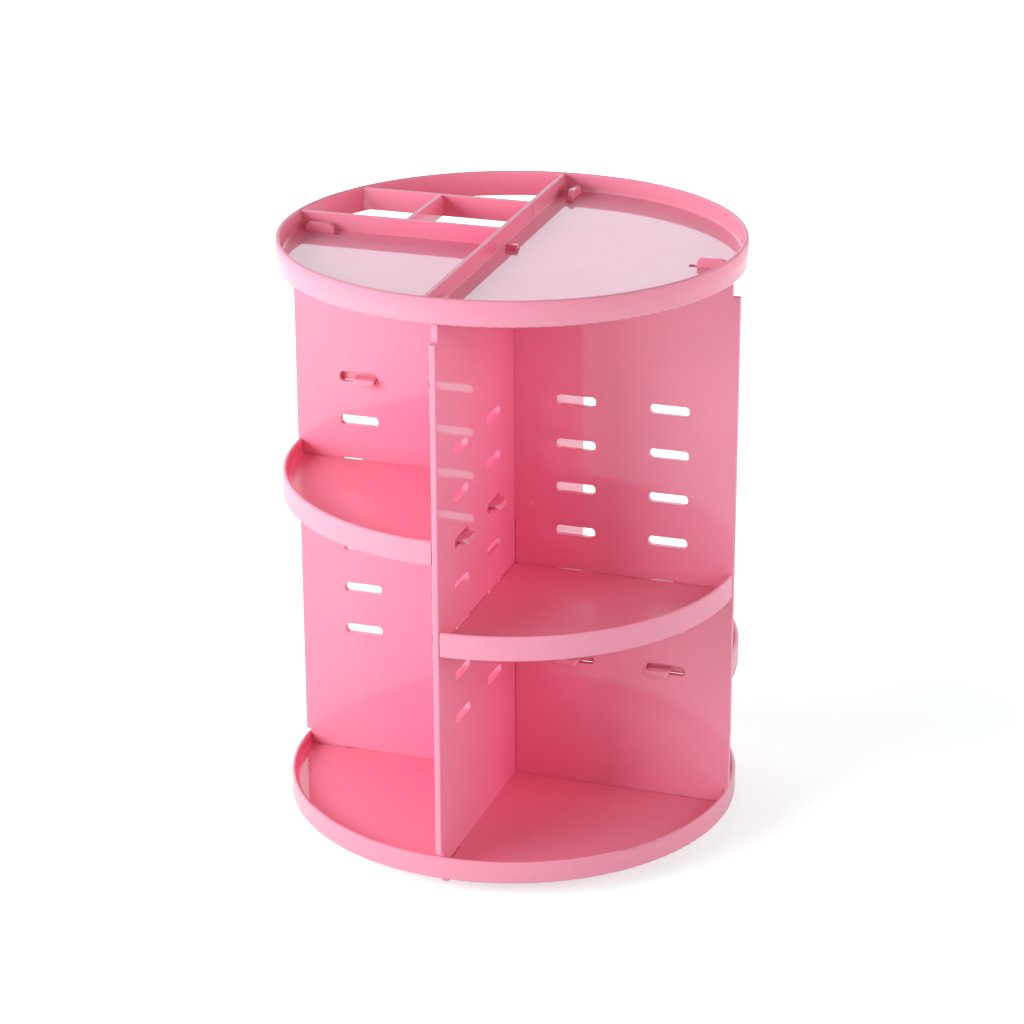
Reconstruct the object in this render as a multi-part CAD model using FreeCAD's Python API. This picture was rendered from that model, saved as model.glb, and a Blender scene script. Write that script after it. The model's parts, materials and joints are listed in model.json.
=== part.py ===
"""Round rotating cosmetics carousel, 230 mm across and 305 mm tall.

Two slotted boards cross at half height and stand between a round bottom tray and a round top
tray. Four quarter-round shelves hook into the boards, one in each quarter, each two rows lower
than the last. A ball-bearing turntable under the bottom tray lets the whole carousel turn.

All sizes are in millimetres. The origin is on the table, under the turntable's centre, +Z is up,
and the boards run along X and Y. Each piece is written to parts/NODE.step.
"""
import FreeCAD, Part
import math
import os

# Trays: two round trays of one radius, with an upright rim and a rounded lip.
TRAY_RADIUS = 115.0
RIM_WALL = 2.3
RIM_FOOT_ROUND = 0.8
TRAY_FLOOR = 2.5
TRAY_FILLET = 1.5
BOTTOM_RIM_HEIGHT = 11.5
BOTTOM_RIM_SKIRT = 2.8
TOP_RIM_HEIGHT = 12.9
TOP_RIM_SKIRT = 1.2

# Walls moulded into the top tray. The long wall runs from rim to rim a little off the board line.
WALL_THICKNESS = 2.2
LONG_WALL_X = -7.0
LONG_WALL_TURN_DEG = 1.3
FRONT_WALL_Y = 5.7
BACK_WALL_Y = 55.2
SHORT_WALL_X = -56.5
WALL_DROP = 0.6

# Boards: two flat boards that cross in the middle, each slotted over half of its height.
BOARD_THICKNESS = 3.0
BOARD_HEIGHT = 279.1
BOARD_OVERHANG = 0.4
BOARD_EDGE_ROUND = 0.6
TOP_NOTCH_CLEARANCE = 1.1
TOP_NOTCH_HEIGHT = 10.8
BOTTOM_NOTCH_CLEARANCE = 0.3
BOTTOM_NOTCH_OVER_RIM = 1.8
LAP_CLEARANCE = 0.15
LAP_OVERRUN = 1.5

# Tabs on the boards, which pass through both tray floors.
TAB_SETBACK = 7.0
TAB_WIDTH = 14.5
TAB_CHAMFER = 2.0
TOP_TAB_PROUD = 4.9
BOTTOM_TAB_DROP = 8.8
BARB_REACH = 1.0
BARB_HEIGHT = 2.4
BARB_GAP = 0.2
CENTRE_TAB_WIDTH = 6.0
CENTRE_TAB_PROUD = 2.6
TAB_SIDE_CLEARANCE = 0.5
TAB_END_CLEARANCE = 0.6
TAB_INNER_CLEARANCE = 4.0

# Shelf slots in the boards: rows one above the other, in an inner and an outer column.
SLOT_ROWS = 7
SLOT_PITCH = 23.03
SLOT_FIRST_HEIGHT = 69.3
SLOT_COLUMNS = (33.6, 81.3)
SLOT_WIDTH = 20.0
SLOT_HEIGHT = 5.0
SLOT_CORNER = 2.0

# Quarter-round shelves. Each hangs on four hooked tongues and leaves outwards and upwards.
SHELF_GAP = 0.3
SHELF_WALL = 2.3
SHELF_FLOOR = 2.2
SHELF_RIM_HEIGHT = 12.6
SHELF_FLOOR_LEVEL = 4.7
SHELF_FLANGE = 2.0
SHELF_CORNER = 2.5
TONGUE_WIDTH = 11.8
TONGUE_THICKNESS = 2.6
TONGUE_REACH = 3.6
TONGUE_INSET = 0.6
TONGUE_CORNER_CLEARANCE = 0.3
TONGUE_NOSE = 2.0
HOOK_CLEARANCE = 0.6
SHELF_CLIMB = 0.25

# The shelves from the highest to the lowest, each a quarter turn on from the one above it.
SHELVES = ("shelf_back_left", "shelf_front_left", "shelf_front_right", "shelf_back_right")

# Turntable: a base plate on rubber pads, a caged ring of balls and a top plate under the tray.
BASE_RADIUS = 82.0
BASE_HEIGHT = 5.0
BASE_PLATE = 2.2
BASE_SKIRT = 2.0
BASE_EDGE_ROUND = 1.2
BASE_RIB = 1.6
BASE_RIB_COUNT = 12
BASE_RIB_RAISE = 0.4
BASE_RING_RADIUS = 38.0
PAD_COUNT = 6
PAD_RADIUS = 6.0
PAD_CIRCLE = 70.0
PAD_THICKNESS = 2.2
PAD_RECESS = 1.0
PAD_BOSS_WALL = 2.0
PAD_CLEARANCE = 0.1
BALL_RADIUS = 2.5
BALL_CIRCLE = 58.0
BALL_COUNT = 14
BALL_CLEARANCE = 0.15
RACE_DEPTH = 1.0
RACE_BACKING = 1.0
RACE_BAND = 10.0
CAGE_THICKNESS = 1.4
CAGE_WIDTH = 9.0
CAGE_POCKET_CLEARANCE = 0.2
TOP_PLATE = 2.5
TOP_PLATE_RADIUS = 72.0
WINDOW_COUNT = 8
WINDOW_INNER = 20.0
WINDOW_OUTER = 36.0
WINDOW_RIB = 8.0
LOCATING_WALL = 2.0
LOCATING_CLEARANCE = 0.3
LOCATING_RAISE = 0.4
TRAY_RIB_COUNT = 16
TRAY_RIB = 1.6
TRAY_RIB_HEIGHT = 1.8

# Pivot at the turntable's centre.
HUB_RADIUS = 6.0
HUB_CLEARANCE = 0.06
BUSH_WALL = 2.0
BUSH_FLANGE = 3.0
BUSH_FLANGE_THICKNESS = 0.8
AXIAL_PLAY = 0.1
WASHER_RADIUS = 12.0
WASHER_THICKNESS = 1.2
PIVOT_SCREW_RADIUS = 1.75
PIVOT_HEAD_RADIUS = 4.0
PIVOT_HEAD_HEIGHT = 1.7
PIVOT_SCREW_LENGTH = 7.0
SCREW_CLEARANCE = 0.05
DRIVE_WIDTH = 0.9
DRIVE_SPAN = 4.0
DRIVE_DEPTH = 0.8

# Countersunk screws that hold the turntable's top plate under the bottom tray.
TRAY_SCREW_COUNT = 4
TRAY_SCREW_CIRCLE = 46.0
TRAY_SCREW_RADIUS = 1.5
TRAY_SCREW_HEAD_RADIUS = 2.8
TRAY_SCREW_SKIN = 0.5
TRAY_BOSS_RADIUS = 4.0
TRAY_BOSS_HEIGHT = 0.9
TRAY_BOSS_CLEARANCE = 0.1

# Levels from the table up.
BASE_BOTTOM = PAD_THICKNESS - PAD_RECESS
BASE_TOP = BASE_BOTTOM + BASE_HEIGHT
PLATE_UNDERSIDE = BASE_TOP - BASE_PLATE
RACE_RADIUS = BALL_RADIUS + BALL_CLEARANCE
BALL_LEVEL = BASE_TOP - RACE_DEPTH + RACE_RADIUS
TOP_PLATE_BOTTOM = BALL_LEVEL + RACE_RADIUS - RACE_DEPTH
BOTTOM_FLOOR_LOW = TOP_PLATE_BOTTOM + TOP_PLATE
BOTTOM_FLOOR_HIGH = BOTTOM_FLOOR_LOW + TRAY_FLOOR
BOTTOM_RIM_LOW = BOTTOM_FLOOR_LOW - BOTTOM_RIM_SKIRT
BOARD_FOOT = BOTTOM_FLOOR_HIGH
BOARD_HEAD = BOARD_FOOT + BOARD_HEIGHT
TOP_FLOOR_LOW = BOARD_HEAD
TOP_FLOOR_HIGH = TOP_FLOOR_LOW + TRAY_FLOOR
TOP_RIM_LOW = TOP_FLOOR_LOW - TOP_RIM_SKIRT
TOP_RIM_HIGH = TOP_RIM_LOW + TOP_RIM_HEIGHT
RIM_INSIDE = TRAY_RADIUS - RIM_WALL
BOARD_REACH = TRAY_RADIUS + BOARD_OVERHANG
TAB_OUTER = TRAY_RADIUS - TAB_SETBACK
TAB_INNER = TAB_OUTER - TAB_WIDTH
FOOT_REACH = RIM_INSIDE - BOTTOM_NOTCH_CLEARANCE
FOOT_NOTCH_TOP = BOTTOM_RIM_LOW + BOTTOM_RIM_HEIGHT + BOTTOM_NOTCH_OVER_RIM
HEAD_REACH = RIM_INSIDE - TOP_NOTCH_CLEARANCE
TONGUE_EDGE_ROUND = min(SLOT_CORNER, TONGUE_THICKNESS - 2 * TONGUE_CORNER_CLEARANCE) + TONGUE_CORNER_CLEARANCE
WASHER_TOP = PLATE_UNDERSIDE - AXIAL_PLAY
PIVOT_HEAD_TOP = WASHER_TOP - WASHER_THICKNESS
CUT_MARGIN = 1.0

Z_AXIS = FreeCAD.Vector(0, 0, 1)
ORIGIN = FreeCAD.Vector(0, 0, 0)


def cylinder(radius, low, high, x=0.0, y=0.0):
    """Return an upright cylinder from level low to level high."""
    return Part.makeCylinder(radius, high - low, FreeCAD.Vector(x, y, low), Z_AXIS)


def ring(outer, inner, low, high):
    """Return an upright ring between two radii and two levels."""
    return cylinder(outer, low, high).cut(cylinder(inner, low - CUT_MARGIN, high + CUT_MARGIN))


def block(x_low, x_high, y_low, y_high, low, high):
    """Return an upright block between the given limits."""
    corner = FreeCAD.Vector(x_low, y_low, low)
    return Part.makeBox(x_high - x_low, y_high - y_low, high - low, corner)


def turned(shape, degrees):
    """Return a copy of a shape turned about the carousel's axis."""
    copy = shape.copy()
    copy.rotate(ORIGIN, Z_AXIS, degrees)
    return copy


def around(shape, count, start_deg=0.0):
    """Return count copies of a shape, evenly spaced about the carousel's axis."""
    return [turned(shape, start_deg + 360.0 * index / count) for index in range(count)]


def polygon_face(points):
    """Return the flat face inside a closed run of points."""
    return Part.Face(Part.makePolygon(points + [points[0]]))


def revolved(edges):
    """Return the solid swept by a closed half section turned about the carousel's axis."""
    return Part.Face(Part.Wire(edges)).revolve(ORIGIN, Z_AXIS, 360)


def section_line(start, end):
    """Return a straight edge of a half section, between two (radius, level) points."""
    points = [FreeCAD.Vector(radius, 0, level) for radius, level in (start, end)]
    return Part.LineSegment(*points).toShape()


def section_arc(start, middle, end):
    """Return a round edge of a half section through three (radius, level) points."""
    points = [FreeCAD.Vector(radius, 0, level) for radius, level in (start, middle, end)]
    return Part.Arc(*points).toShape()


def rimmed_disc(wall, rim_low, rim_high, floor_low, floor_high, fillet):
    """Return a round tray: a floor, a rim with a full-round lip and a fillet inside it."""
    outside = TRAY_RADIUS
    inside = TRAY_RADIUS - wall
    lip = wall / 2
    foot = RIM_FOOT_ROUND
    bend = fillet * (1 - math.sqrt(0.5))
    foot_bend = foot * (1 - math.sqrt(0.5))
    return revolved([
        section_line((0, floor_low), (inside, floor_low)),
        section_line((inside, floor_low), (inside, rim_low)),
        section_line((inside, rim_low), (outside - foot, rim_low)),
        section_arc((outside - foot, rim_low), (outside - foot_bend, rim_low + foot_bend),
                    (outside, rim_low + foot)),
        section_line((outside, rim_low + foot), (outside, rim_high - lip)),
        section_arc((outside, rim_high - lip), (outside - lip, rim_high), (inside, rim_high - lip)),
        section_line((inside, rim_high - lip), (inside, floor_high + fillet)),
        section_arc((inside, floor_high + fillet), (inside - bend, floor_high + bend),
                    (inside - fillet, floor_high)),
        section_line((inside - fillet, floor_high), (0, floor_high)),
        section_line((0, floor_high), (0, floor_low)),
    ])


def tab_openings(low, high):
    """Return the four floor openings that the boards' tabs pass through."""
    inner = TAB_INNER - TAB_INNER_CLEARANCE
    outer = TAB_OUTER + TAB_END_CLEARANCE
    half = BOARD_THICKNESS / 2 + TAB_SIDE_CLEARANCE
    return around(block(inner, outer, -half, half, low - CUT_MARGIN, high + CUT_MARGIN), 4)


def race(level):
    """Return the ring that a ball track is cut with: the balls' path with running clearance."""
    return Part.makeTorus(BALL_CIRCLE, RACE_RADIUS, FreeCAD.Vector(0, 0, level), Z_AXIS)


def turntable_base():
    """Return the stationary plate: skirt, ribs, pad seats, ball track and bush seat."""
    edge = BASE_EDGE_ROUND
    bend = edge * (1 - math.sqrt(0.5))
    shell = revolved([
        section_line((0, PLATE_UNDERSIDE), (BASE_RADIUS - BASE_SKIRT, PLATE_UNDERSIDE)),
        section_line((BASE_RADIUS - BASE_SKIRT, PLATE_UNDERSIDE), (BASE_RADIUS - BASE_SKIRT, BASE_BOTTOM)),
        section_line((BASE_RADIUS - BASE_SKIRT, BASE_BOTTOM), (BASE_RADIUS, BASE_BOTTOM)),
        section_line((BASE_RADIUS, BASE_BOTTOM), (BASE_RADIUS, BASE_TOP - edge)),
        section_arc((BASE_RADIUS, BASE_TOP - edge), (BASE_RADIUS - bend, BASE_TOP - bend),
                    (BASE_RADIUS - edge, BASE_TOP)),
        section_line((BASE_RADIUS - edge, BASE_TOP), (0, BASE_TOP)),
        section_line((0, BASE_TOP), (0, PLATE_UNDERSIDE)),
    ])
    half = BASE_RIB / 2
    rib_low = BASE_BOTTOM + BASE_RIB_RAISE
    overlap = BASE_PLATE / 2
    rib_high = PLATE_UNDERSIDE + overlap
    rib = block(BASE_RING_RADIUS, BASE_RADIUS - BASE_SKIRT / 2, -half, half, rib_low, rib_high)
    hoop = ring(BASE_RING_RADIUS + half, BASE_RING_RADIUS - half, rib_low, rib_high)
    backing = ring(BALL_CIRCLE + RACE_BAND / 2, BALL_CIRCLE - RACE_BAND / 2,
                   PLATE_UNDERSIDE - RACE_BACKING, rib_high)
    boss = cylinder(PAD_RADIUS + PAD_BOSS_WALL, BASE_BOTTOM, rib_high, x=PAD_CIRCLE)
    seat = cylinder(PAD_RADIUS + PAD_CLEARANCE, BASE_BOTTOM - CUT_MARGIN, PAD_THICKNESS, x=PAD_CIRCLE)
    half_turn = 180.0 / BASE_RIB_COUNT
    body = shell.multiFuse([hoop, backing] + around(rib, BASE_RIB_COUNT, half_turn) + around(boss, PAD_COUNT))
    bush_seat = cylinder(HUB_RADIUS + HUB_CLEARANCE + BUSH_WALL, BASE_BOTTOM, BASE_TOP + CUT_MARGIN)
    return body.cut(Part.makeCompound([race(BALL_LEVEL), bush_seat] + around(seat, PAD_COUNT)))


def foot_pads():
    """Return the rubber pads under the base plate."""
    return Part.makeCompound(around(cylinder(PAD_RADIUS, 0, PAD_THICKNESS, x=PAD_CIRCLE), PAD_COUNT))


def pivot_bush():
    """Return the flanged bush in the base plate that the hub turns in."""
    bore = HUB_RADIUS + HUB_CLEARANCE
    sleeve = ring(bore + BUSH_WALL, bore, PLATE_UNDERSIDE, BASE_TOP)
    flange = ring(bore + BUSH_WALL + BUSH_FLANGE, bore, BASE_TOP, BASE_TOP + BUSH_FLANGE_THICKNESS)
    return sleeve.fuse(flange).removeSplitter()


def bearing_balls():
    """Return the ring of steel balls."""
    ball = Part.makeSphere(BALL_RADIUS, FreeCAD.Vector(BALL_CIRCLE, 0, BALL_LEVEL))
    return Part.makeCompound(around(ball, BALL_COUNT))


def ball_cage():
    """Return the flat ring that keeps the balls evenly spaced."""
    low = BALL_LEVEL - CAGE_THICKNESS / 2
    high = BALL_LEVEL + CAGE_THICKNESS / 2
    band = ring(BALL_CIRCLE + CAGE_WIDTH / 2, BALL_CIRCLE - CAGE_WIDTH / 2, low, high)
    pocket = cylinder(BALL_RADIUS + CAGE_POCKET_CLEARANCE, low - CUT_MARGIN, high + CUT_MARGIN, x=BALL_CIRCLE)
    return band.cut(Part.makeCompound(around(pocket, BALL_COUNT)))


def plate_window():
    """Return one of the openings that lighten the turntable's top plate."""
    low = TOP_PLATE_BOTTOM - CUT_MARGIN
    high = BOTTOM_FLOOR_LOW + CUT_MARGIN
    sector = 180.0 / WINDOW_COUNT
    half_rib = WINDOW_RIB / 2
    wedge = ring(WINDOW_OUTER, WINDOW_INNER, low, high)
    for side in (1, -1):
        keep = block(-WINDOW_OUTER, WINDOW_OUTER, 0, 2 * WINDOW_OUTER, low, high)
        keep.translate(FreeCAD.Vector(0, half_rib, 0))
        keep = turned(keep, -sector) if side > 0 else turned(keep, 180 + sector)
        wedge = wedge.common(keep)
    return wedge


def turntable_top():
    """Return the plate under the tray: ball track, hub, windows and screw seats."""
    plate = cylinder(TOP_PLATE_RADIUS, TOP_PLATE_BOTTOM, BOTTOM_FLOOR_LOW)
    hub = cylinder(HUB_RADIUS, WASHER_TOP, BOTTOM_FLOOR_LOW)
    core = cylinder(PIVOT_SCREW_RADIUS + SCREW_CLEARANCE, WASHER_TOP - CUT_MARGIN,
                    PIVOT_HEAD_TOP + PIVOT_SCREW_LENGTH + AXIAL_PLAY)
    boss_seat_low = BOTTOM_FLOOR_LOW - TRAY_BOSS_HEIGHT - TRAY_BOSS_CLEARANCE
    boss_seat = cylinder(TRAY_BOSS_RADIUS + TRAY_BOSS_CLEARANCE, boss_seat_low,
                         BOTTOM_FLOOR_LOW + CUT_MARGIN, x=TRAY_SCREW_CIRCLE)
    screw_hole = tray_screw(SCREW_CLEARANCE)
    half_turn = 180.0 / TRAY_SCREW_COUNT
    tools = [race(BALL_LEVEL), core]
    tools += around(plate_window(), WINDOW_COUNT)
    tools += around(boss_seat, TRAY_SCREW_COUNT, half_turn)
    tools += around(screw_hole, TRAY_SCREW_COUNT, half_turn)
    return plate.fuse(hub).removeSplitter().cut(Part.makeCompound(tools))


def tray_screw(clearance):
    """Return one countersunk screw, or with a clearance the hole that it needs."""
    core = TRAY_SCREW_RADIUS + clearance
    head = TRAY_SCREW_HEAD_RADIUS + clearance
    low = TOP_PLATE_BOTTOM
    tip = BOTTOM_FLOOR_HIGH - TRAY_SCREW_SKIN + clearance
    cone_high = low + head - core
    screw = Part.makeCone(head, core, cone_high - low, FreeCAD.Vector(TRAY_SCREW_CIRCLE, 0, low), Z_AXIS)
    return screw.fuse(cylinder(core, cone_high, tip, x=TRAY_SCREW_CIRCLE)).removeSplitter()


def cross_recess(x, low, high):
    """Return the cross-shaped driver recess of a screw head."""
    half = DRIVE_WIDTH / 2
    span = DRIVE_SPAN / 2
    bars = block(x - span, x + span, -half, half, low, high)
    return bars.fuse(block(x - half, x + half, -span, span, low, high))


def tray_screws():
    """Return the four countersunk screws, each with its driver recess."""
    recess = cross_recess(TRAY_SCREW_CIRCLE, TOP_PLATE_BOTTOM - CUT_MARGIN, TOP_PLATE_BOTTOM + DRIVE_DEPTH)
    screw = tray_screw(0.0).cut(recess)
    return Part.makeCompound(around(screw, TRAY_SCREW_COUNT, 180.0 / TRAY_SCREW_COUNT))


def pivot_washer():
    """Return the washer that keeps the turntable's two plates together."""
    return ring(WASHER_RADIUS, PIVOT_SCREW_RADIUS + SCREW_CLEARANCE, PIVOT_HEAD_TOP, WASHER_TOP)


def pivot_screw():
    """Return the pan-head screw that holds the washer to the hub."""
    head_low = PIVOT_HEAD_TOP - PIVOT_HEAD_HEIGHT
    head = cylinder(PIVOT_HEAD_RADIUS, head_low, PIVOT_HEAD_TOP)
    rounding = PIVOT_HEAD_HEIGHT / 2
    outer_edge = [edge for edge in head.Edges if edge.BoundBox.ZMax < PIVOT_HEAD_TOP - rounding]
    head = head.makeFillet(rounding, outer_edge)
    shank = cylinder(PIVOT_SCREW_RADIUS, PIVOT_HEAD_TOP, PIVOT_HEAD_TOP + PIVOT_SCREW_LENGTH)
    recess = cross_recess(0.0, head_low - CUT_MARGIN, head_low + DRIVE_DEPTH)
    return head.fuse(shank).removeSplitter().cut(recess)


def bottom_tray():
    """Return the bottom tray with its turntable collar, ribs, screw bosses and tab openings."""
    tray = rimmed_disc(RIM_WALL, BOTTOM_RIM_LOW, BOTTOM_RIM_LOW + BOTTOM_RIM_HEIGHT,
                       BOTTOM_FLOOR_LOW, BOTTOM_FLOOR_HIGH, TRAY_FILLET)
    overlap = TRAY_FLOOR / 2
    collar_inner = TOP_PLATE_RADIUS + LOCATING_CLEARANCE
    collar_outer = collar_inner + LOCATING_WALL
    collar = ring(collar_outer, collar_inner, TOP_PLATE_BOTTOM + LOCATING_RAISE, BOTTOM_FLOOR_LOW + overlap)
    half = TRAY_RIB / 2
    rib = block(collar_outer - LOCATING_WALL / 2, RIM_INSIDE + RIM_WALL / 2, -half, half,
                BOTTOM_FLOOR_LOW - TRAY_RIB_HEIGHT, BOTTOM_FLOOR_LOW + overlap)
    boss = cylinder(TRAY_BOSS_RADIUS, BOTTOM_FLOOR_LOW - TRAY_BOSS_HEIGHT, BOTTOM_FLOOR_LOW + overlap,
                    x=TRAY_SCREW_CIRCLE)
    ribs = around(rib, TRAY_RIB_COUNT, 180.0 / TRAY_RIB_COUNT)
    bosses = around(boss, TRAY_SCREW_COUNT, 180.0 / TRAY_SCREW_COUNT)
    tray = tray.multiFuse([collar] + ribs + bosses)
    holes = around(tray_screw(SCREW_CLEARANCE), TRAY_SCREW_COUNT, 180.0 / TRAY_SCREW_COUNT)
    openings = tab_openings(BOTTOM_FLOOR_LOW, BOTTOM_FLOOR_HIGH)
    return tray.cut(Part.makeCompound(openings + holes))


def long_wall(low, high):
    """Return the wall that crosses the top tray from rim to rim."""
    half = WALL_THICKNESS / 2
    wall = block(-half, half, -TRAY_RADIUS, TRAY_RADIUS, low, high)
    wall = turned(wall, LONG_WALL_TURN_DEG)
    wall.translate(FreeCAD.Vector(LONG_WALL_X, 0, 0))
    return wall


def left_of_long_wall(low, high):
    """Return a half space to the left of the long wall's middle plane."""
    half_space = block(-2 * TRAY_RADIUS, 0, -2 * TRAY_RADIUS, 2 * TRAY_RADIUS, low, high)
    half_space = turned(half_space, LONG_WALL_TURN_DEG)
    half_space.translate(FreeCAD.Vector(LONG_WALL_X, 0, 0))
    return half_space


def top_tray():
    """Return the top tray: long wall, two cross walls, a short wall and three open-bottomed cells."""
    tray = rimmed_disc(RIM_WALL, TOP_RIM_LOW, TOP_RIM_HIGH, TOP_FLOOR_LOW, TOP_FLOOR_HIGH, TRAY_FILLET)
    half = WALL_THICKNESS / 2
    below = TOP_FLOOR_LOW - CUT_MARGIN
    above = TOP_FLOOR_HIGH + TRAY_FILLET
    inside = cylinder(RIM_INSIDE, below, above)
    cells = inside.common(block(-TRAY_RADIUS, 0, FRONT_WALL_Y, TRAY_RADIUS, below, above))
    cells = cells.common(left_of_long_wall(below, above))
    wall_low = TOP_FLOOR_LOW
    wall_high = TOP_RIM_HIGH - WALL_DROP
    walls = [
        long_wall(wall_low, wall_high),
        block(-TRAY_RADIUS, LONG_WALL_X, FRONT_WALL_Y - half, FRONT_WALL_Y + half, wall_low, wall_high),
        block(-TRAY_RADIUS, LONG_WALL_X, BACK_WALL_Y - half, BACK_WALL_Y + half, wall_low, wall_high),
        block(SHORT_WALL_X - half, SHORT_WALL_X + half, FRONT_WALL_Y, BACK_WALL_Y, wall_low, wall_high),
    ]
    walls = walls[0].multiFuse(walls[1:]).removeSplitter()
    walls = walls.common(cylinder(TRAY_RADIUS - RIM_WALL / 2, wall_low, wall_high))
    middle_half = CENTRE_TAB_WIDTH / 2 + TAB_SIDE_CLEARANCE
    middle_side = BOARD_THICKNESS / 2 + TAB_SIDE_CLEARANCE
    middle = block(-middle_half, middle_half, -middle_side, middle_side, below, above)
    tray = tray.cut(cells).fuse(walls).removeSplitter()
    return tray.cut(Part.makeCompound(tab_openings(TOP_FLOOR_LOW, TOP_FLOOR_HIGH) + [middle]))


def board_outline():
    """Return the right half of a board's outline, from the foot to the head, as (x, level) points."""
    barb_high = BOTTOM_FLOOR_LOW - BARB_GAP
    tab_low = BOTTOM_FLOOR_LOW - BOTTOM_TAB_DROP
    tab_high = TOP_FLOOR_HIGH + TOP_TAB_PROUD
    return [
        (TAB_INNER, BOARD_FOOT),
        (TAB_INNER, tab_low + TAB_CHAMFER),
        (TAB_INNER + TAB_CHAMFER, tab_low),
        (TAB_OUTER - TAB_CHAMFER, tab_low),
        (TAB_OUTER, barb_high - BARB_HEIGHT),
        (TAB_OUTER + BARB_REACH, barb_high),
        (TAB_OUTER, barb_high),
        (TAB_OUTER, BOARD_FOOT),
        (FOOT_REACH - TRAY_FILLET, BOARD_FOOT),
        (FOOT_REACH, BOARD_FOOT + TRAY_FILLET),
        (FOOT_REACH, FOOT_NOTCH_TOP),
        (BOARD_REACH, FOOT_NOTCH_TOP),
        (BOARD_REACH, BOARD_HEAD - TOP_NOTCH_HEIGHT),
        (HEAD_REACH, BOARD_HEAD - TOP_NOTCH_HEIGHT),
        (HEAD_REACH, BOARD_HEAD),
        (TAB_OUTER, BOARD_HEAD),
        (TAB_OUTER, tab_high - TAB_CHAMFER),
        (TAB_OUTER - TAB_CHAMFER, tab_high),
        (TAB_INNER + TAB_CHAMFER, tab_high),
        (TAB_INNER, tab_high - TAB_CHAMFER),
        (TAB_INNER, BOARD_HEAD),
    ]


def slot_level(row):
    """Return the middle level of a row of shelf slots, counted from the lowest row."""
    return BOARD_FOOT + SLOT_FIRST_HEIGHT + row * SLOT_PITCH


def shelf_slot(x, level):
    """Return the cutter of one shelf slot, with rounded corners, through a board along X."""
    margin = BOARD_THICKNESS
    slot = block(x - SLOT_WIDTH / 2, x + SLOT_WIDTH / 2, -margin, margin,
                 level - SLOT_HEIGHT / 2, level + SLOT_HEIGHT / 2)
    across = [edge for edge in slot.Edges if abs(edge.tangentAt(edge.FirstParameter).y) > 0.5]
    return slot.makeFillet(min(SLOT_CORNER, SLOT_HEIGHT / 2 - TONGUE_CORNER_CLEARANCE), across)


def board_edges_to_round(board):
    """Return the long upright edges at a board's two outer ends."""
    def is_outer_upright(edge):
        box = edge.BoundBox
        return box.ZLength > BOARD_HEIGHT / 2 and abs(abs(box.XMin) - BOARD_REACH) < BOARD_OVERHANG

    return [edge for edge in board.Edges if is_outer_upright(edge)]


def cross_board(open_side):
    """Return a board along X whose middle slot opens at the foot (-1) or at the head (+1)."""
    half = BOARD_THICKNESS / 2
    right = board_outline()
    left = [(-x, level) for x, level in reversed(right)]
    points = [FreeCAD.Vector(x, -half, level) for x, level in right + left]
    board = polygon_face(points).extrude(FreeCAD.Vector(0, BOARD_THICKNESS, 0))
    board = board.makeFillet(BOARD_EDGE_ROUND, board_edges_to_round(board))
    lap_half = half + LAP_CLEARANCE
    middle = BOARD_FOOT + BOARD_HEIGHT / 2
    margin = BOARD_THICKNESS
    if open_side < 0:
        lap = block(-lap_half, lap_half, -margin, margin, BOARD_FOOT - CUT_MARGIN, middle + LAP_OVERRUN)
        centre_half = CENTRE_TAB_WIDTH / 2
        centre_tab_high = TOP_FLOOR_HIGH + CENTRE_TAB_PROUD
        centre_tab = block(-centre_half, centre_half, -half, half, BOARD_HEAD, centre_tab_high)
        board = board.fuse(centre_tab).removeSplitter()
    else:
        lap = block(-lap_half, lap_half, -margin, margin, middle - LAP_OVERRUN, BOARD_HEAD + CUT_MARGIN)
    slots = [shelf_slot(side * column, slot_level(row))
             for side in (-1, 1) for column in SLOT_COLUMNS for row in range(SLOT_ROWS)]
    return board.cut(Part.makeCompound(slots + [lap]))


def tongue(column, level):
    """Return one hooked tongue that leaves a shelf edge towards -Y, through a board along X.

    The hook's underside falls away from the board as steeply as the shelf climbs when it is
    drawn out, so the hook clears the slot's lower edge. The nose is cut back on its outer side.
    """
    near = BOARD_THICKNESS / 2 + SHELF_GAP
    far = -BOARD_THICKNESS / 2
    tip = far - TONGUE_REACH
    low = level - SLOT_HEIGHT / 2
    high = low + TONGUE_THICKNESS
    hook_start = far - HOOK_CLEARANCE
    hook_low = low - SHELF_CLIMB * (hook_start - tip)
    inner = column - SLOT_WIDTH / 2 + TONGUE_INSET
    outer = inner + TONGUE_WIDTH
    side = [(near + SHELF_FLANGE / 2, low), (hook_start, low), (tip, hook_low), (tip, high),
            (near + SHELF_FLANGE / 2, high)]
    profile = polygon_face([FreeCAD.Vector(inner, y, z) for y, z in side])
    solid = profile.extrude(FreeCAD.Vector(TONGUE_WIDTH, 0, 0))
    lower_sides = [edge for edge in solid.Edges
                   if edge.BoundBox.XLength < TONGUE_WIDTH / 2 and edge.BoundBox.YLength > HOOK_CLEARANCE
                   and edge.BoundBox.ZMax < high - TONGUE_THICKNESS / 2]
    solid = solid.makeFillet(TONGUE_EDGE_ROUND, lower_sides)
    nose = [FreeCAD.Vector(outer - TONGUE_NOSE, tip, hook_low - CUT_MARGIN),
            FreeCAD.Vector(outer, tip + TONGUE_NOSE, hook_low - CUT_MARGIN),
            FreeCAD.Vector(outer + CUT_MARGIN, tip - CUT_MARGIN, hook_low - CUT_MARGIN)]
    return solid.cut(polygon_face(nose).extrude(FreeCAD.Vector(0, 0, high - hook_low + 2 * CUT_MARGIN)))


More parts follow.
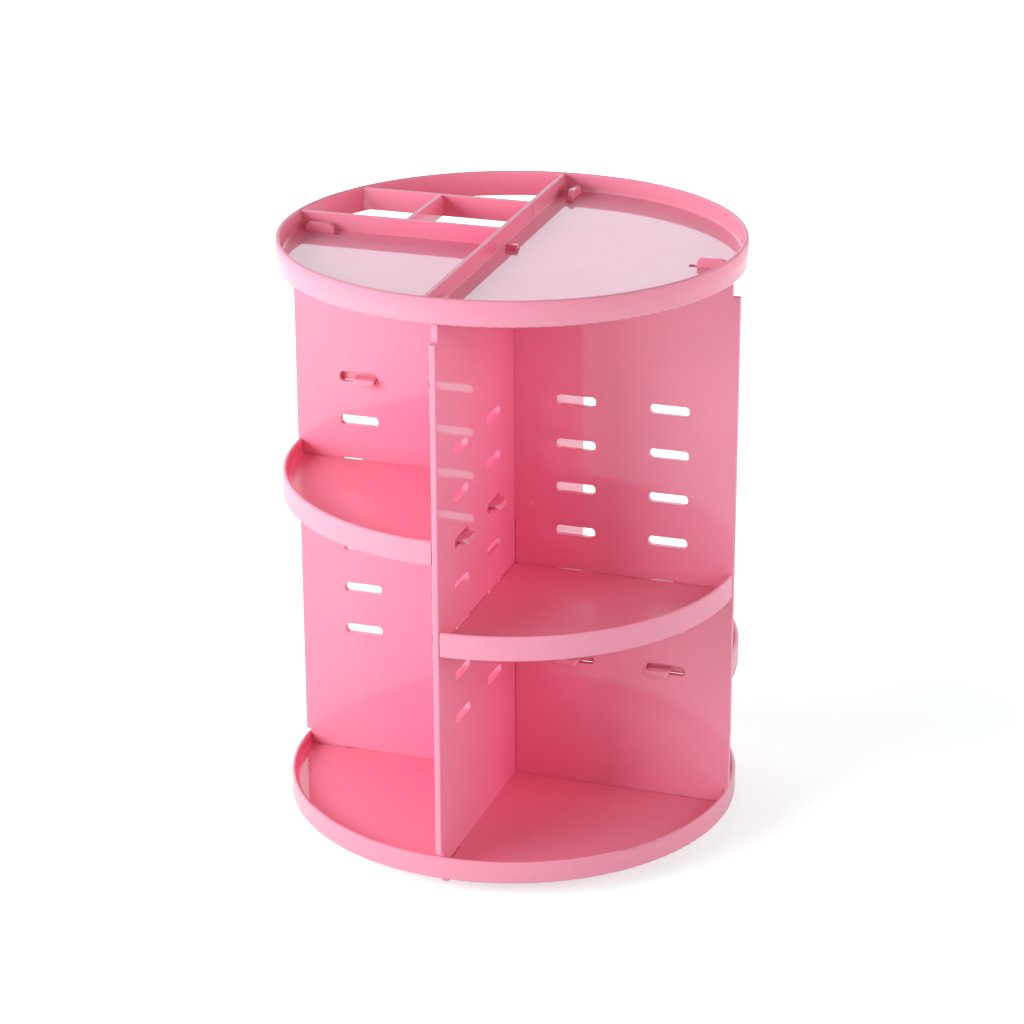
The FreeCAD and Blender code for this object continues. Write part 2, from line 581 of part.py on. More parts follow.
def quarter_shelf(row):
    """Return a shelf in the +X +Y quarter that hangs in a row of slots."""
    level = slot_level(row)
    low = level - SLOT_HEIGHT / 2
    floor_high = low + SHELF_FLOOR_LEVEL
    floor_low = floor_high - SHELF_FLOOR
    disc = rimmed_disc(SHELF_WALL, low, low + SHELF_RIM_HEIGHT, floor_low, floor_high, TRAY_FILLET)
    edge = BOARD_THICKNESS / 2 + SHELF_GAP
    beyond = 2 * TRAY_RADIUS
    quarter = block(edge, beyond, edge, beyond, low - CUT_MARGIN, low + 2 * SHELF_RIM_HEIGHT)
    corner = [side for side in quarter.Edges if side.BoundBox.ZLength > SHELF_RIM_HEIGHT
              and side.BoundBox.XMax < TRAY_RADIUS and side.BoundBox.YMax < TRAY_RADIUS]
    quarter = quarter.makeFillet(SHELF_CORNER, corner)
    overlap = SHELF_FLOOR / 2
    inside = TRAY_RADIUS - SHELF_WALL / 2
    along = block(edge, inside, edge, edge + SHELF_FLANGE, low, floor_low + overlap)
    flanges = along.fuse(mirrored_diagonal(along)).common(cylinder(inside, low, floor_high)).common(quarter)
    tongues = [tongue(column, level) for column in SLOT_COLUMNS]
    tongues += [mirrored_diagonal(one) for one in tongues]
    return disc.common(quarter).multiFuse([flanges] + tongues).removeSplitter()


def mirrored_diagonal(shape):
    """Return a copy of a shape with X and Y exchanged."""
    return shape.mirror(ORIGIN, FreeCAD.Vector(1, -1, 0))


def pieces():
    """Return every piece of the carousel by its name."""
    made = {
        "turntable_base": turntable_base(),
        "foot_pads": foot_pads(),
        "pivot_bush": pivot_bush(),
        "bearing_balls": bearing_balls(),
        "ball_cage": ball_cage(),
        "turntable_top": turntable_top(),
        "tray_screws": tray_screws(),
        "pivot_washer": pivot_washer(),
        "pivot_screw": pivot_screw(),
        "bottom_tray": bottom_tray(),
        "cross_board_x": cross_board(-1),
        "cross_board_y": turned(cross_board(1), 90.0),
        "top_tray": top_tray(),
    }
    rows_between = (SLOT_ROWS - 1) // (len(SHELVES) - 1)
    for place, name in enumerate(SHELVES):
        row = SLOT_ROWS - 1 - place * rows_between
        made[name] = turned(quarter_shelf(row), 90.0 * (place + 1))
    return made


def main():
    """Write one STEP file per piece."""
    os.makedirs("parts", exist_ok=True)
    for name, shape in pieces().items():
        shape.exportStep("parts/" + name + ".step")
        box = shape.BoundBox
        print(f"{name}: {len(shape.Solids)} solid(s), {shape.Volume:.0f} mm3, "
              f"z {box.ZMin:.2f} to {box.ZMax:.2f}, valid {shape.isValid()}")


main()
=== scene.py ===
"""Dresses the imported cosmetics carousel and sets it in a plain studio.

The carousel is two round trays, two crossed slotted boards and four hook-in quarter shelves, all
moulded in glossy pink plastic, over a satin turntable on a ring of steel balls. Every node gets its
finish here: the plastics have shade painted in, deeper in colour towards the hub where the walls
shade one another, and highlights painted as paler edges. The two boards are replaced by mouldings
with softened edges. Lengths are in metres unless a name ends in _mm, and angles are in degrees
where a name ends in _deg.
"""
import json
import logging
import math
from collections.abc import Sequence
from dataclasses import dataclass, field
from enum import Enum

import bmesh
import bpy
from mathutils import Matrix, Vector

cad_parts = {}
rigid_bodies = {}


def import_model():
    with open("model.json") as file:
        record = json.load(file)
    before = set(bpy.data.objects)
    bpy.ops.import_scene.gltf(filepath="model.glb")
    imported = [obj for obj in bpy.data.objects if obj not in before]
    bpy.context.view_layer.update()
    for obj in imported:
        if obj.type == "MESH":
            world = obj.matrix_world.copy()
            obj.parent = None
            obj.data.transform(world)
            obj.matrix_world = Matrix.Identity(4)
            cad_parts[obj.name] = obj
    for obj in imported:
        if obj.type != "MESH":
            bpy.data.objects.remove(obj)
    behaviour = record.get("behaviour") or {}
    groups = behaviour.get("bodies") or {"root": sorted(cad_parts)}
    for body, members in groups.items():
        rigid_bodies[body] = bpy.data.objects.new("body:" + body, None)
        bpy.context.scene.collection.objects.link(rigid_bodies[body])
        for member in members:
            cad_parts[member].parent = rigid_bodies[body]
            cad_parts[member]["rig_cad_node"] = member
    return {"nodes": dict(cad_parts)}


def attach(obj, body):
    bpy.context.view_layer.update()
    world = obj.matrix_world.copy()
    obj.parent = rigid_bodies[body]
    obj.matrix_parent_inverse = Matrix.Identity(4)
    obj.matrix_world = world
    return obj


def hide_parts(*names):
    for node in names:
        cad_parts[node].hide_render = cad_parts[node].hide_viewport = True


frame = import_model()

log = logging.getLogger("carousel")

Colour = tuple[float, float, float]
Range = tuple[float, float]
Feed = bpy.types.NodeSocket | float | tuple[float, ...]

MM = 0.001
WHOLE = (0.0, 1.0)
NOISE_SPAN = (0.3, 0.7)  # most of a noise's values lie here
# A paler pink for the highlights painted along the mouldings' edges.
EDGE_HIGHLIGHT_PINK = (0.96, 0.46, 0.56)
WHITE = (1.0, 1.0, 1.0)
KEY_WHITE = (0.72, 0.99, 0.94)
COOL_WHITE = (0.81, 0.98, 0.94)
SKY_WHITE = (0.74, 0.9, 1.0)


class Slot(Enum):
    """The record's material slots, by what is made of them."""

    TRAY = "tray_pink"
    BOARD = "board_pink"
    SHELF = "shelf_pink"
    TURNTABLE = "turntable_plastic"
    CAGE = "cage_plastic"
    BUSH = "bush_plastic"
    PAD = "pad_rubber"
    BALL = "ball_steel"
    SCREW = "screw_steel"


def rgba(colour: Colour) -> tuple[float, float, float, float]:
    """Return a linear colour with full alpha."""
    return (*colour, 1.0)


def outward(azimuth_deg: float, elevation_deg: float) -> Vector:
    """Give the direction from the carousel towards a lamp or the camera.

    Args:
        azimuth_deg: the turn about the vertical, from the carousel's front to its right.
        elevation_deg: the rise over the level.

    Returns:
        The direction, of length one.
    """
    azimuth, elevation = math.radians(azimuth_deg), math.radians(elevation_deg)
    level = math.cos(elevation)
    return Vector((math.sin(azimuth) * level, -math.cos(azimuth) * level, math.sin(elevation)))


class Nodes:
    """A short way to add and join shader nodes in one tree."""

    # The places of a Mix node's colour sockets, among those for its other kinds of value.
    MIX_FACTOR, MIX_FIRST, MIX_SECOND, MIX_RESULT = 0, 6, 7, 2

    def __init__(self, tree: bpy.types.NodeTree) -> None:
        """Keep the node tree of a material, a world or a group, and empty it."""
        self.tree = tree
        tree.nodes.clear()

    def feed(self, socket: bpy.types.NodeSocket, value: Feed) -> None:
        """Join an input to another node, or set it.

        Args:
            socket: the input.
            value: another node's output, or a number, vector or colour.
        """
        if isinstance(value, bpy.types.NodeSocket):
            self.tree.links.new(value, socket)
        else:
            socket.default_value = value

    def add(self, kind: str, **inputs: Feed) -> bpy.types.Node:
        """Add a node and feed its inputs.

        Args:
            kind: the node type without its ShaderNode prefix.
            inputs: values or sockets, by the input's name with underscores for spaces, or in_N.

        Returns:
            The new node.
        """
        node = self.tree.nodes.new("ShaderNode" + kind)
        for name, value in inputs.items():
            number = name.removeprefix("in_")
            key = int(number) if number.isdigit() else name.replace("_", " ")
            self.feed(node.inputs[key], value)
        return node

    def math(self, operation: str, first: Feed, second: Feed) -> bpy.types.NodeSocket:
        """Add a Math node.

        Args:
            operation: what it does with its values.
            first: the first value.
            second: the second value.

        Returns:
            The result's socket.
        """
        node = self.add("Math", in_0=first, in_1=second)
        node.operation = operation
        return node.outputs[0]

    def vector(self, operation: str, first: Feed, second: Feed = (0.0, 0.0, 0.0)) -> bpy.types.Node:
        """Add a Vector Math node.

        Args:
            operation: what it does with its vectors.
            first: the first vector.
            second: the second vector, where the operation takes two.

        Returns:
            The new node, with a Vector and a Value output.
        """
        node = self.add("VectorMath", in_0=first, in_1=second)
        node.operation = operation
        return node

    def spread(self, value: Feed, to: Range, span: Range = NOISE_SPAN) -> bpy.types.NodeSocket:
        """Map a span of a value to another range, and hold the result within that range."""
        return self.add("MapRange", Value=value, From_Min=span[0], From_Max=span[1],
                        To_Min=to[0], To_Max=to[1]).outputs[0]

    def blend(self, factor: Feed, first: Feed, second: Feed) -> bpy.types.NodeSocket:
        """Mix two colours.

        Args:
            factor: the second colour's share.
            first: the colour at a factor of 0.
            second: the colour at a factor of 1.

        Returns:
            The mixed colour's socket.
        """
        node = self.tree.nodes.new("ShaderNodeMix")
        node.data_type = "RGBA"
        self.feed(node.inputs[self.MIX_FACTOR], factor)
        self.feed(node.inputs[self.MIX_FIRST], first)
        self.feed(node.inputs[self.MIX_SECOND], second)
        return node.outputs[self.MIX_RESULT]

    def background_rays(self, mirrored: float = 1.0) -> bpy.types.NodeSocket:
        """Tell the rays that see the plain background from those that light the carousel.

        Args:
            mirrored: the value for rays that gloss or glass sends there.

        Returns:
            The socket of a mask that is 1 for the camera's own rays.
        """
        path = self.add("LightPath").outputs
        glossy = self.math("MAXIMUM", path["Is Glossy Ray"], path["Is Transmission Ray"])
        return self.math("MAXIMUM", self.math("MULTIPLY", glossy, mirrored), path["Is Camera Ray"])


@dataclass(frozen=True)
class Noise:
    """A noise pattern: its scale, its detail and how many times finer it is upwards than across."""

    scale: float
    detail: float
    upright: float = 1.0

    def lay(self, nodes: Nodes, place: bpy.types.NodeSocket) -> bpy.types.NodeSocket:
        """Lay the pattern over a surface.

        Args:
            nodes: the nodes that it joins.
            place: where each point of the surface is.

        Returns:
            The pattern's value socket.
        """
        if self.upright != 1.0:
            place = nodes.add("Mapping", Vector=place, Scale=(1.0, 1.0, self.upright)).outputs[0]
        return nodes.add("TexNoise", Vector=place, Scale=self.scale, Detail=self.detail).outputs[0]


class MouldedSurface:
    """A shader group for moulded plastic: colour with painted shade and highlights, roughness and
    relief.
    """

    NAME = "moulded_surface"
    INPUTS = {
        "Place": "NodeSocketVector",
        "Soft Normal": "NodeSocketVector",
        "Colour": "NodeSocketColor",
        "Hub Shade Colour": "NodeSocketColor",
        "Edge Highlight Colour": "NodeSocketColor",
        "Gloss": "NodeSocketFloat",
        "Grain": "NodeSocketFloat",
        "Wave": "NodeSocketFloat",
    }
    OUTPUTS = {
        "Colour": "NodeSocketColor",
        "Roughness": "NodeSocketFloat",
        "Height": "NodeSocketFloat",
    }
    LEVEL = (1.0, 1.0, 0.0)  # leaves the level part of a place
    SHADED_HUB_TO_RIM = (0.016, 0.088)  # the radii between which the shade painted at the hub fades out
    FLOW = Noise(scale=9.0, detail=3.0)
    FLOW_SHIFT = (-0.12, 0.12)
    # The edges' colour is a painted highlight, laid where the softened normal turns from the true
    # one.
    EDGE_HIGHLIGHT_TURN = (0.75, 0.995)  # cosine of the softened normal's turn, at an edge and on the flat
    EDGE_HIGHLIGHT_SHARE = 0.5
    SMUDGE = Noise(scale=26.0, detail=5.0)
    SMUDGE_SHIFT = (-0.03, 0.05)
    RUB = Noise(scale=170.0, detail=3.0, upright=9.0)
    RUB_SHIFT = (-0.015, 0.03)
    WAVE = Noise(scale=34.0, detail=1.0)
    GRAIN = Noise(scale=2600.0, detail=2.0)

    @classmethod
    def group(cls) -> bpy.types.NodeTree:
        """Give the group, and build it the first time.

        Returns:
            The node group with Colour, Roughness and Height outputs.
        """
        made = bpy.data.node_groups.get(cls.NAME)
        if made:
            return made
        made = bpy.data.node_groups.new(cls.NAME, "ShaderNodeTree")
        for way, sockets in (("INPUT", cls.INPUTS), ("OUTPUT", cls.OUTPUTS)):
            for name, kind in sockets.items():
                made.interface.new_socket(name, in_out=way, socket_type=kind)
        nodes = Nodes(made)
        given = made.nodes.new("NodeGroupInput").outputs
        result = made.nodes.new("NodeGroupOutput").inputs
        nodes.feed(result["Colour"], cls.colour(nodes, given))
        nodes.feed(result["Roughness"], cls.roughness(nodes, given))
        nodes.feed(result["Height"], cls.relief(nodes, given))
        return made

    @classmethod
    def colour(cls, nodes: Nodes,
               given: bpy.types.bpy_prop_collection) -> bpy.types.NodeSocket:
        """Paint shade at the hub that fades out to the plain colour, and paint highlights on the
        edges.

        Args:
            nodes: the group's nodes.
            given: the group's inputs, by name.

        Returns:
            The colour's socket.
        """
        # Shade painted towards the hub, where the walls shade one another: the colour deepens from
        # the rim in to the hub, with a random tone laid over it.
        across = nodes.vector("MULTIPLY", given["Place"], cls.LEVEL).outputs["Vector"]
        radius = nodes.vector("LENGTH", across).outputs["Value"]
        flow = nodes.spread(cls.FLOW.lay(nodes, given["Place"]), cls.FLOW_SHIFT)
        shade_fade_and_tone = nodes.math("ADD", nodes.spread(radius, WHOLE, cls.SHADED_HUB_TO_RIM), flow)
        plain = nodes.blend(shade_fade_and_tone, given["Hub Shade Colour"], given["Colour"])
        # Highlight painted along the edges: the colour pales where the softened normal turns from
        # the true one.
        normal = nodes.add("NewGeometry").outputs["Normal"]
        turned = nodes.vector("DOT_PRODUCT", given["Soft Normal"], normal).outputs["Value"]
        edge = nodes.spread(turned, (1.0, 0.0), cls.EDGE_HIGHLIGHT_TURN)
        share = nodes.math("MULTIPLY", edge, cls.EDGE_HIGHLIGHT_SHARE)
        return nodes.blend(share, plain, given["Edge Highlight Colour"])

    @classmethod
    def roughness(cls, nodes: Nodes,
                  given: bpy.types.bpy_prop_collection) -> bpy.types.NodeSocket:
        """Vary the gloss by smudges and rubbed patches.

        Args:
            nodes: the group's nodes.
            given: the group's inputs, by name.

        Returns:
            The roughness's socket.
        """
        smudge = nodes.spread(cls.SMUDGE.lay(nodes, given["Place"]), cls.SMUDGE_SHIFT)
        rub = nodes.spread(cls.RUB.lay(nodes, given["Place"]), cls.RUB_SHIFT)
        return nodes.math("ADD", nodes.math("ADD", given["Gloss"], smudge), rub)

    @classmethod
    def relief(cls, nodes: Nodes,
               given: bpy.types.bpy_prop_collection) -> bpy.types.NodeSocket:
        """Add the long waves of the moulding to its fine grain.

        Args:
            nodes: the group's nodes.
            given: the group's inputs, by name.

        Returns:
            The height's socket, in millimetres.
        """
        wave = nodes.math("MULTIPLY", cls.WAVE.lay(nodes, given["Place"]), given["Wave"])
        grain = nodes.math("MULTIPLY", cls.GRAIN.lay(nodes, given["Place"]), given["Grain"])
        return nodes.math("ADD", wave, grain)


@dataclass(frozen=True)
class Finish:
    """A finish for one of the record's material slots."""

    slot: Slot

    def shader(self, nodes: Nodes, place: bpy.types.NodeSocket) -> bpy.types.Node:
        """Add the shader and what feeds it, which each kind of finish does in its own way."""
        raise NotImplementedError

    def build(self) -> bpy.types.Material:
        """Make the finish.

        Returns:
            The material.
        """
        material = bpy.data.materials.new(self.slot.value + "_finish")
        material.use_nodes = True
        nodes = Nodes(material.node_tree)
        place = nodes.add("TexCoord").outputs["Object"]
        nodes.add("OutputMaterial", Surface=self.shader(nodes, place).outputs[0])
        return material


@dataclass(frozen=True)
class MouldedPlastic(Finish):
    """A moulded plastic finish, glossy or satin.

    The coat keeps its whole weight up to the height polish_top and thins out to matt_share of it at
    matt_top. Where the two heights are equal, it is even.
    """

    colour: Colour
    # The colour of the shade painted towards the hub.
    hub_shade: Colour
    # The colour of the highlight painted along the edges.
    edge: Colour
    gloss: float
    grain: float
    wave: float
    coat: float = 0.0
    coat_roughness: float = 0.1
    ior: float = 1.5
    edge_radius: float = 0.35 * MM
    polish_top: float = 0.0
    matt_top: float = 0.0
    matt_share: float = 0.3

    def shader(self, nodes: Nodes, place: bpy.types.NodeSocket) -> bpy.types.Node:
        """Lay the moulded skin over a coated plastic with softened edges.

        Args:
            nodes: the material's nodes.
            place: where each point of the surface is.

        Returns:
            The shader.
        """
        soft = nodes.add("Bevel", Radius=self.edge_radius).outputs[0]
        skin = nodes.tree.nodes.new("ShaderNodeGroup")
        skin.node_tree = MouldedSurface.group()
        # The skin's colour carries shade painted towards the hub and highlights painted on the
        # edges.
        for name, value in (("Place", place), ("Soft Normal", soft), ("Colour", rgba(self.colour)),
                            ("Hub Shade Colour", rgba(self.hub_shade)), ("Edge Highlight Colour", rgba(self.edge)),
                            ("Gloss", self.gloss), ("Grain", self.grain), ("Wave", self.wave)):
            nodes.feed(skin.inputs[name], value)
        bump = nodes.add("Bump", Height=skin.outputs["Height"], Normal=soft, Strength=1.0,
                         Distance=MM).outputs[0]
        shader = nodes.add("BsdfPrincipled", Base_Color=skin.outputs["Colour"],
                           Roughness=skin.outputs["Roughness"], IOR=self.ior, Normal=bump,
                           Coat_Weight=self.coat, Coat_Roughness=self.coat_roughness,
                           Coat_Normal=bump)
        if self.matt_top > self.polish_top:
            height = nodes.add("SeparateXYZ", Vector=place).outputs["Z"]
            polish = nodes.spread(height, (self.coat, self.matt_share * self.coat),
                                  (self.polish_top, self.matt_top))
            nodes.feed(shader.inputs["Coat Weight"], polish)
        return shader


@dataclass(frozen=True)
class Rubber(Finish):
    """Dark matt rubber with a fine pebble grain and some dust."""

    colour: Colour = (0.035, 0.034, 0.036)
    dusty: Colour = (0.085, 0.08, 0.08)
    ior: float = 1.5
    dust: Noise = Noise(scale=90.0, detail=5.0)
    dust_span: Range = (0.4, 0.75)
    roughness: Range = (0.7, 0.88)
    pebble_scale: float = 1400.0
    pebble_strength: float = 0.5
    pebble_depth: float = 0.1 * MM

    def shader(self, nodes: Nodes, place: bpy.types.NodeSocket) -> bpy.types.Node:
        """Raise the pebbles and spread the dust.

        Args:
            nodes: the material's nodes.
            place: where each point of the surface is.

        Returns:
            The shader.
        """
        dust = nodes.spread(self.dust.lay(nodes, place), WHOLE, self.dust_span)
        pebble = nodes.add("TexVoronoi", Vector=place, Scale=self.pebble_scale).outputs["Distance"]
        bump = nodes.add("Bump", Height=pebble, Strength=self.pebble_strength,
                         Distance=self.pebble_depth).outputs[0]
        return nodes.add("BsdfPrincipled", IOR=self.ior, Normal=bump,
                         Base_Color=nodes.blend(dust, rgba(self.colour), rgba(self.dusty)),
                         Roughness=nodes.spread(dust, self.roughness, WHOLE))


@dataclass(frozen=True)
class Steel(Finish):
    """Steel, polished or plated, with fine turning marks about the vertical."""

    colour: Colour
    roughness: float
    marks: float
    tarnish: float = 0.8
    cloud: Noise = Noise(scale=220.0, detail=4.0)
    turning: Noise = Noise(scale=900.0, detail=3.0, upright=30.0)
    turning_depth: float = 0.02 * MM
    smooth_share: float = 0.8
    rough_share: float = 1.3

    def shader(self, nodes: Nodes, place: bpy.types.NodeSocket) -> bpy.types.Node:
        """Cloud the colour and cut the turning marks.

        Args:
            nodes: the material's nodes.
            place: where each point of the surface is.

        Returns:
            The shader.
        """
        cloud = nodes.spread(self.cloud.lay(nodes, place), WHOLE)
        turning = self.turning.lay(nodes, place)
        dull = tuple(self.tarnish * part for part in self.colour)
        bump = nodes.add("Bump", Height=turning, Strength=self.marks,
                         Distance=self.turning_depth).outputs[0]
        rough = nodes.spread(turning, (self.roughness * self.smooth_share,
                                       self.roughness * self.rough_share))
        return nodes.add("BsdfPrincipled", Metallic=1.0, Roughness=rough, Normal=bump,
                         Base_Color=nodes.blend(cloud, rgba(self.colour), rgba(dull)))


@dataclass
class Finishes:
    """Every finish of the carousel, built once and handed out by slot."""

    recipes: tuple[Finish, ...] = (
        # Each moulding's second colour is shade painted towards the hub, and its edge colour is a
        # highlight painted along its edges.
        MouldedPlastic(
            Slot.TRAY, colour=(0.9, 0.234, 0.346), hub_shade=(0.95, 0.19, 0.325), edge=EDGE_HIGHLIGHT_PINK,
            gloss=0.5, grain=0.0002, wave=0.012, coat=1.0, coat_roughness=0.05,
            edge_radius=0.6 * MM, polish_top=0.298, matt_top=0.302),
        MouldedPlastic(
            Slot.BOARD, colour=(0.95, 0.245, 0.378), hub_shade=(0.95, 0.162, 0.312), edge=EDGE_HIGHLIGHT_PINK,
            gloss=0.5, grain=0.0002, wave=0.01, coat=0.9, coat_roughness=0.06),
        MouldedPlastic(
            Slot.SHELF, colour=(0.9, 0.251, 0.366), hub_shade=(0.96, 0.203, 0.352), edge=EDGE_HIGHLIGHT_PINK,
            gloss=0.5, grain=0.0002, wave=0.012, coat=0.8, coat_roughness=0.25,
            edge_radius=0.6 * MM),
        MouldedPlastic(
            Slot.TURNTABLE, colour=(0.8, 0.22, 0.36), hub_shade=(0.76, 0.2, 0.33),
            edge=(0.86, 0.34, 0.46), gloss=0.42, grain=0.02, wave=0.004),
        MouldedPlastic(
            Slot.CAGE, colour=(0.8, 0.79, 0.74), hub_shade=(0.76, 0.74, 0.68),
            edge=(0.86, 0.85, 0.81), gloss=0.4, grain=0.012, wave=0.004, ior=1.48),
        MouldedPlastic(
            Slot.BUSH, colour=(0.82, 0.81, 0.76), hub_shade=(0.78, 0.76, 0.7),
            edge=(0.86, 0.85, 0.81), gloss=0.36, grain=0.008, wave=0.003, ior=1.48),
        Rubber(Slot.PAD),
        Steel(Slot.BALL, colour=(0.66, 0.66, 0.67), roughness=0.08, marks=0.1),
        Steel(Slot.SCREW, colour=(0.62, 0.62, 0.6), roughness=0.3, marks=0.4),
    )
    made: dict[Slot, bpy.types.Material] = field(default_factory=dict)

    def build(self) -> None:
        """Build every finish."""
        self.made = {recipe.slot: recipe.build() for recipe in self.recipes}
        log.info("finishes: %d", len(self.made))

    def dress(self, piece: bpy.types.Object, slot: Slot) -> None:
        """Give a piece's material slots a finish.

        Args:
            piece: a CAD node or a new piece.
            slot: the record's slot that names the finish.
        """
        if not piece.data.materials:
            piece.data.materials.append(None)
        for place in piece.material_slots:
            place.link = "OBJECT" if "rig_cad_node" in piece else "DATA"
            place.material = self.made[slot]


@dataclass
class SoftEdges:
    """Rounds the sharp edges of a moulding, as its tool leaves them.

    Points nearer than weld are made one, faces that turn by less than flat_deg are joined, and
    edges that turn by more than sharp_deg are rounded.
    """

    radius: float = 0.3 * MM
    segments: int = 3
    sharp_deg: float = 62.0
    flat_deg: float = 0.02
    weld: float = 0.001 * MM
    shading_weight: int = 100

    def moulding(self, node: str, name: str) -> bpy.types.Object:
        """Make a piece with a node's form and softened edges.

        Args:
            node: the CAD node that gives the form.
            name: the new piece's name.

        Returns:
            The new piece, in the node's place.
        """
        shape = bmesh.new()
        shape.from_mesh(frame["nodes"][node].data)
        bmesh.ops.remove_doubles(shape, verts=shape.verts, dist=self.weld)
        bmesh.ops.dissolve_limit(shape, angle_limit=math.radians(self.flat_deg),
                                 use_dissolve_boundaries=False, verts=shape.verts,
                                 edges=shape.edges, delimit=set())
        sharp_angle = math.radians(self.sharp_deg)
        sharp = [edge for edge in shape.edges if edge.calc_face_angle(0.0) > sharp_angle]
        bmesh.ops.bevel(shape, geom=sharp, offset=self.radius, offset_type="OFFSET",
                        segments=self.segments, profile=0.5, affect="EDGES", clamp_overlap=False,
                        material=-1, loop_slide=False)
        mesh = bpy.data.meshes.new(name)
        shape.to_mesh(mesh)
        shape.free()
        piece = bpy.data.objects.new(name, mesh)
        bpy.context.scene.collection.objects.link(piece)
        mesh.shade_smooth()
        shading = piece.modifiers.new("even_shading", "WEIGHTED_NORMAL")
        shading.keep_sharp = False
        shading.weight = self.shading_weight
        return piece


@dataclass
class SubAssembly:
    """A set of pieces that are dressed together."""

    finishes: Finishes

    def dress_nodes(self, nodes: dict[str, Slot]) -> None:
        """Give CAD nodes their finishes as they stand.

        Args:
            nodes: the finish of each node.
        """
        for node, slot in nodes.items():
            self.finishes.dress(frame["nodes"][node], slot)
            log.info("%s: %s", node, slot.value)


@dataclass
class Turntable(SubAssembly):
    """The base, the ball race, the top plate and the pivot under the bottom tray."""

    nodes: dict[str, Slot] = field(default_factory=lambda: {
        "turntable_base": Slot.TURNTABLE,
        "turntable_top": Slot.TURNTABLE,
        "foot_pads": Slot.PAD,
        "ball_cage": Slot.CAGE,
        "bearing_balls": Slot.BALL,
        "pivot_bush": Slot.BUSH,
        "pivot_washer": Slot.SCREW,
        "pivot_screw": Slot.SCREW,
        "tray_screws": Slot.SCREW,
    })

    def dress(self) -> None:
        """Dress the turntable's nodes."""
        self.dress_nodes(self.nodes)


@dataclass
class Trays(SubAssembly):
    """The rimmed bottom tray and the divided top tray."""

    nodes: tuple[str, ...] = ("bottom_tray", "top_tray")

    def dress(self) -> None:
        """Dress both trays."""
        self.dress_nodes(dict.fromkeys(self.nodes, Slot.TRAY))


@dataclass
class CrossBoards(SubAssembly):
    """The two slotted boards that cross in the middle."""

    nodes: tuple[str, ...] = ("cross_board_x", "cross_board_y")
    body: str = "carousel"
    edges: SoftEdges = field(default_factory=SoftEdges)

    def dress(self) -> None:
        """Stand a moulding with softened edges in for each board."""
        for node in self.nodes:
            piece = self.edges.moulding(node, node + "_moulding")
            self.finishes.dress(piece, Slot.BOARD)
            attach(piece, self.body)
            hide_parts(node)
            log.info("%s: %d faces, %s", piece.name, len(piece.data.polygons), Slot.BOARD.value)


@dataclass
class HookShelves(SubAssembly):
    """The four quarter shelves that hang by hooks in the boards' slots."""

    nodes: tuple[str, ...] = ("shelf_back_left", "shelf_front_left",
                              "shelf_front_right", "shelf_back_right")

    def dress(self) -> None:
        """Dress the shelves."""
        self.dress_nodes(dict.fromkeys(self.nodes, Slot.SHELF))


@dataclass(frozen=True)
class Lamp:
    """A softbox that faces the carousel; only a mirrored one shows in its gloss."""

    name: str
    azimuth_deg: float
    elevation_deg: float
    watts: float
    colour: Colour = COOL_WHITE
    distance: float = 1.9
    width: float = 1.1
    height: float = 1.0
    mirrored: bool = False
    aim: Vector = Vector((0.0, 0.0, 0.15))

    def place(self) -> None:
        """Add the lamp to the scene."""
        light = bpy.data.lights.new(self.name, "AREA")
        light.shape = "RECTANGLE"
        light.size = self.width
        light.size_y = self.height
        light.energy = self.watts
        light.color = self.colour
        lamp = bpy.data.objects.new(self.name, light)
        bpy.context.scene.collection.objects.link(lamp)
        away = outward(self.azimuth_deg, self.elevation_deg)
        lamp.location = self.aim + self.distance * away
        lamp.rotation_euler = away.to_track_quat("Z", "Y").to_euler()
        lamp.visible_camera = False
        lamp.visible_glossy = self.mirrored


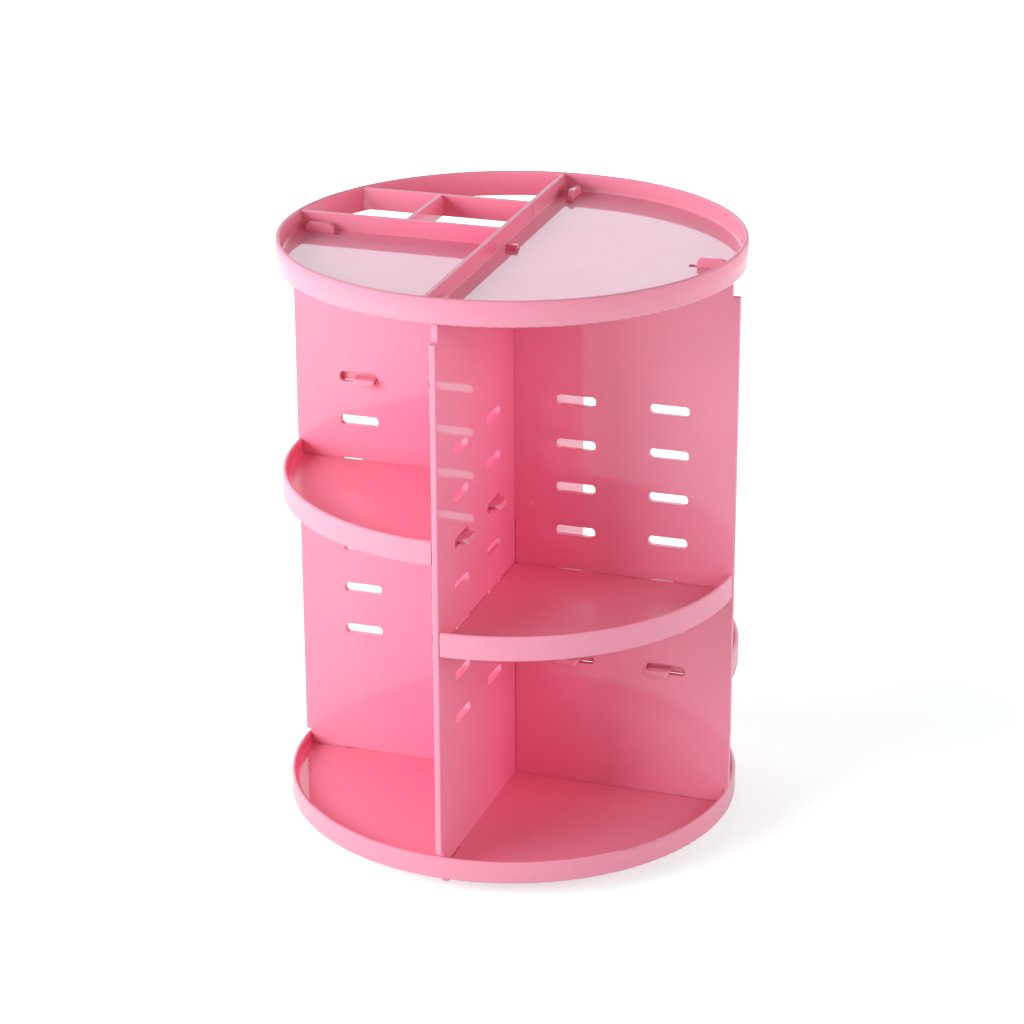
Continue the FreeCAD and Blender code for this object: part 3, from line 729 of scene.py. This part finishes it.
@dataclass
class Studio:
    """A plain pale floor and surround, softboxes and the camera.

    The floor's glow rises through floor_glow between the radii of glow_reach, which leaves a soft
    shadow beside the carousel. The carousel's gloss mirrors floor_mirrored of that glow.
    """

    floor_radius: float = 8.0
    floor_segments: int = 96
    floor_colour: Colour = (0.85, 0.85, 0.85)
    floor_roughness: float = 0.9
    floor_glow: Range = (0.5, 1.0)
    floor_mirrored: float = 0.35
    glow_reach: Range = (0.28, 0.75)
    surround: float = 0.05
    lens_mm: float = 107.05
    sensor_mm: float = 36.0
    camera_place: Vector = Vector((0.455961, -1.354674, 0.714781))
    azimuth_deg: float = 18.622
    elevation_deg: float = 21.259
    roll_deg: float = -0.191
    lamps: tuple[Lamp, ...] = (
        Lamp("key_softbox", -40.0, 14.0, watts=36.5, colour=KEY_WHITE),
        Lamp("side_softbox", -60.0, 25.0, watts=19.0, colour=KEY_WHITE),
        Lamp("fill_softbox", 50.0, 16.0, watts=9.0),
        Lamp("right_softbox", 88.0, 16.0, watts=15.3),
        Lamp("back_softbox", 198.6, 24.0, watts=3.7, colour=SKY_WHITE, distance=2.0, width=1.6,
             height=0.8, mirrored=True),
        Lamp("rear_left_softbox", 240.0, 14.0, watts=17.0),
        Lamp("rear_right_softbox", 145.0, 14.0, watts=13.0),
    )

    def build(self) -> None:
        """Build the whole studio."""
        self.floor()
        self.world()
        for lamp in self.lamps:
            lamp.place()
        self.camera()
        bpy.context.scene.view_settings.view_transform = "Standard"
        log.info("studio: %d lamps", len(self.lamps))

    def floor(self) -> None:
        """Add the floor."""
        shape = bmesh.new()
        bmesh.ops.create_circle(shape, cap_ends=True, segments=self.floor_segments,
                                radius=self.floor_radius)
        mesh = bpy.data.meshes.new("floor")
        shape.to_mesh(mesh)
        shape.free()
        mesh.materials.append(self.paper())
        floor = bpy.data.objects.new("floor", mesh)
        bpy.context.scene.collection.objects.link(floor)

    def paper(self) -> bpy.types.Material:
        """Make the floor's pale paper, which glows white away from the carousel.

        Returns:
            The material.
        """
        material = bpy.data.materials.new("floor_paper")
        material.use_nodes = True
        nodes = Nodes(material.node_tree)
        away = nodes.vector("LENGTH", nodes.add("TexCoord").outputs["Object"]).outputs["Value"]
        glow = nodes.spread(away, self.floor_glow, self.glow_reach)
        seen = nodes.background_rays(self.floor_mirrored)
        shader = nodes.add("BsdfPrincipled", Base_Color=rgba(self.floor_colour),
                           Roughness=self.floor_roughness, Specular_IOR_Level=0.0,
                           Emission_Color=rgba(WHITE),
                           Emission_Strength=nodes.math("MULTIPLY", seen, glow))
        nodes.add("OutputMaterial", Surface=shader.outputs[0])
        return material

    def world(self) -> None:
        """Light the carousel a little from all round, and show white behind it and in its gloss."""
        world = bpy.data.worlds.new("surround")
        bpy.context.scene.world = world
        world.use_nodes = True
        nodes = Nodes(world.node_tree)
        strength = nodes.spread(nodes.background_rays(), (self.surround, 1.0), WHOLE)
        shade = nodes.add("Background", Color=rgba(WHITE), Strength=strength)
        nodes.add("OutputWorld", Surface=shade.outputs[0])

    def camera(self) -> None:
        """Add the camera and look through it."""
        data = bpy.data.cameras.new("camera")
        data.lens = self.lens_mm
        data.sensor_width = self.sensor_mm
        camera = bpy.data.objects.new("camera", data)
        bpy.context.scene.collection.objects.link(camera)
        azimuth, roll = math.radians(self.azimuth_deg), math.radians(self.roll_deg)
        back = outward(self.azimuth_deg, self.elevation_deg)
        level = Vector((math.cos(azimuth), math.sin(azimuth), 0.0))
        right = math.cos(roll) * level + math.sin(roll) * back.cross(level)
        camera.location = self.camera_place
        camera.rotation_mode = "QUATERNION"
        turn = Matrix((right, back.cross(right), back)).transposed()
        camera.rotation_quaternion = turn.to_quaternion()
        bpy.context.scene.camera = camera


def main() -> None:
    """Dress the carousel and build its studio."""
    logging.basicConfig(level=logging.INFO, format="%(name)s: %(message)s")
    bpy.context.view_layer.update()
    finishes = Finishes()
    finishes.build()
    parts = (Turntable(finishes), Trays(finishes), CrossBoards(finishes), HookShelves(finishes))
    for part in parts:
        part.dress()
    Studio().build()


if __name__ == "__main__":
    main()
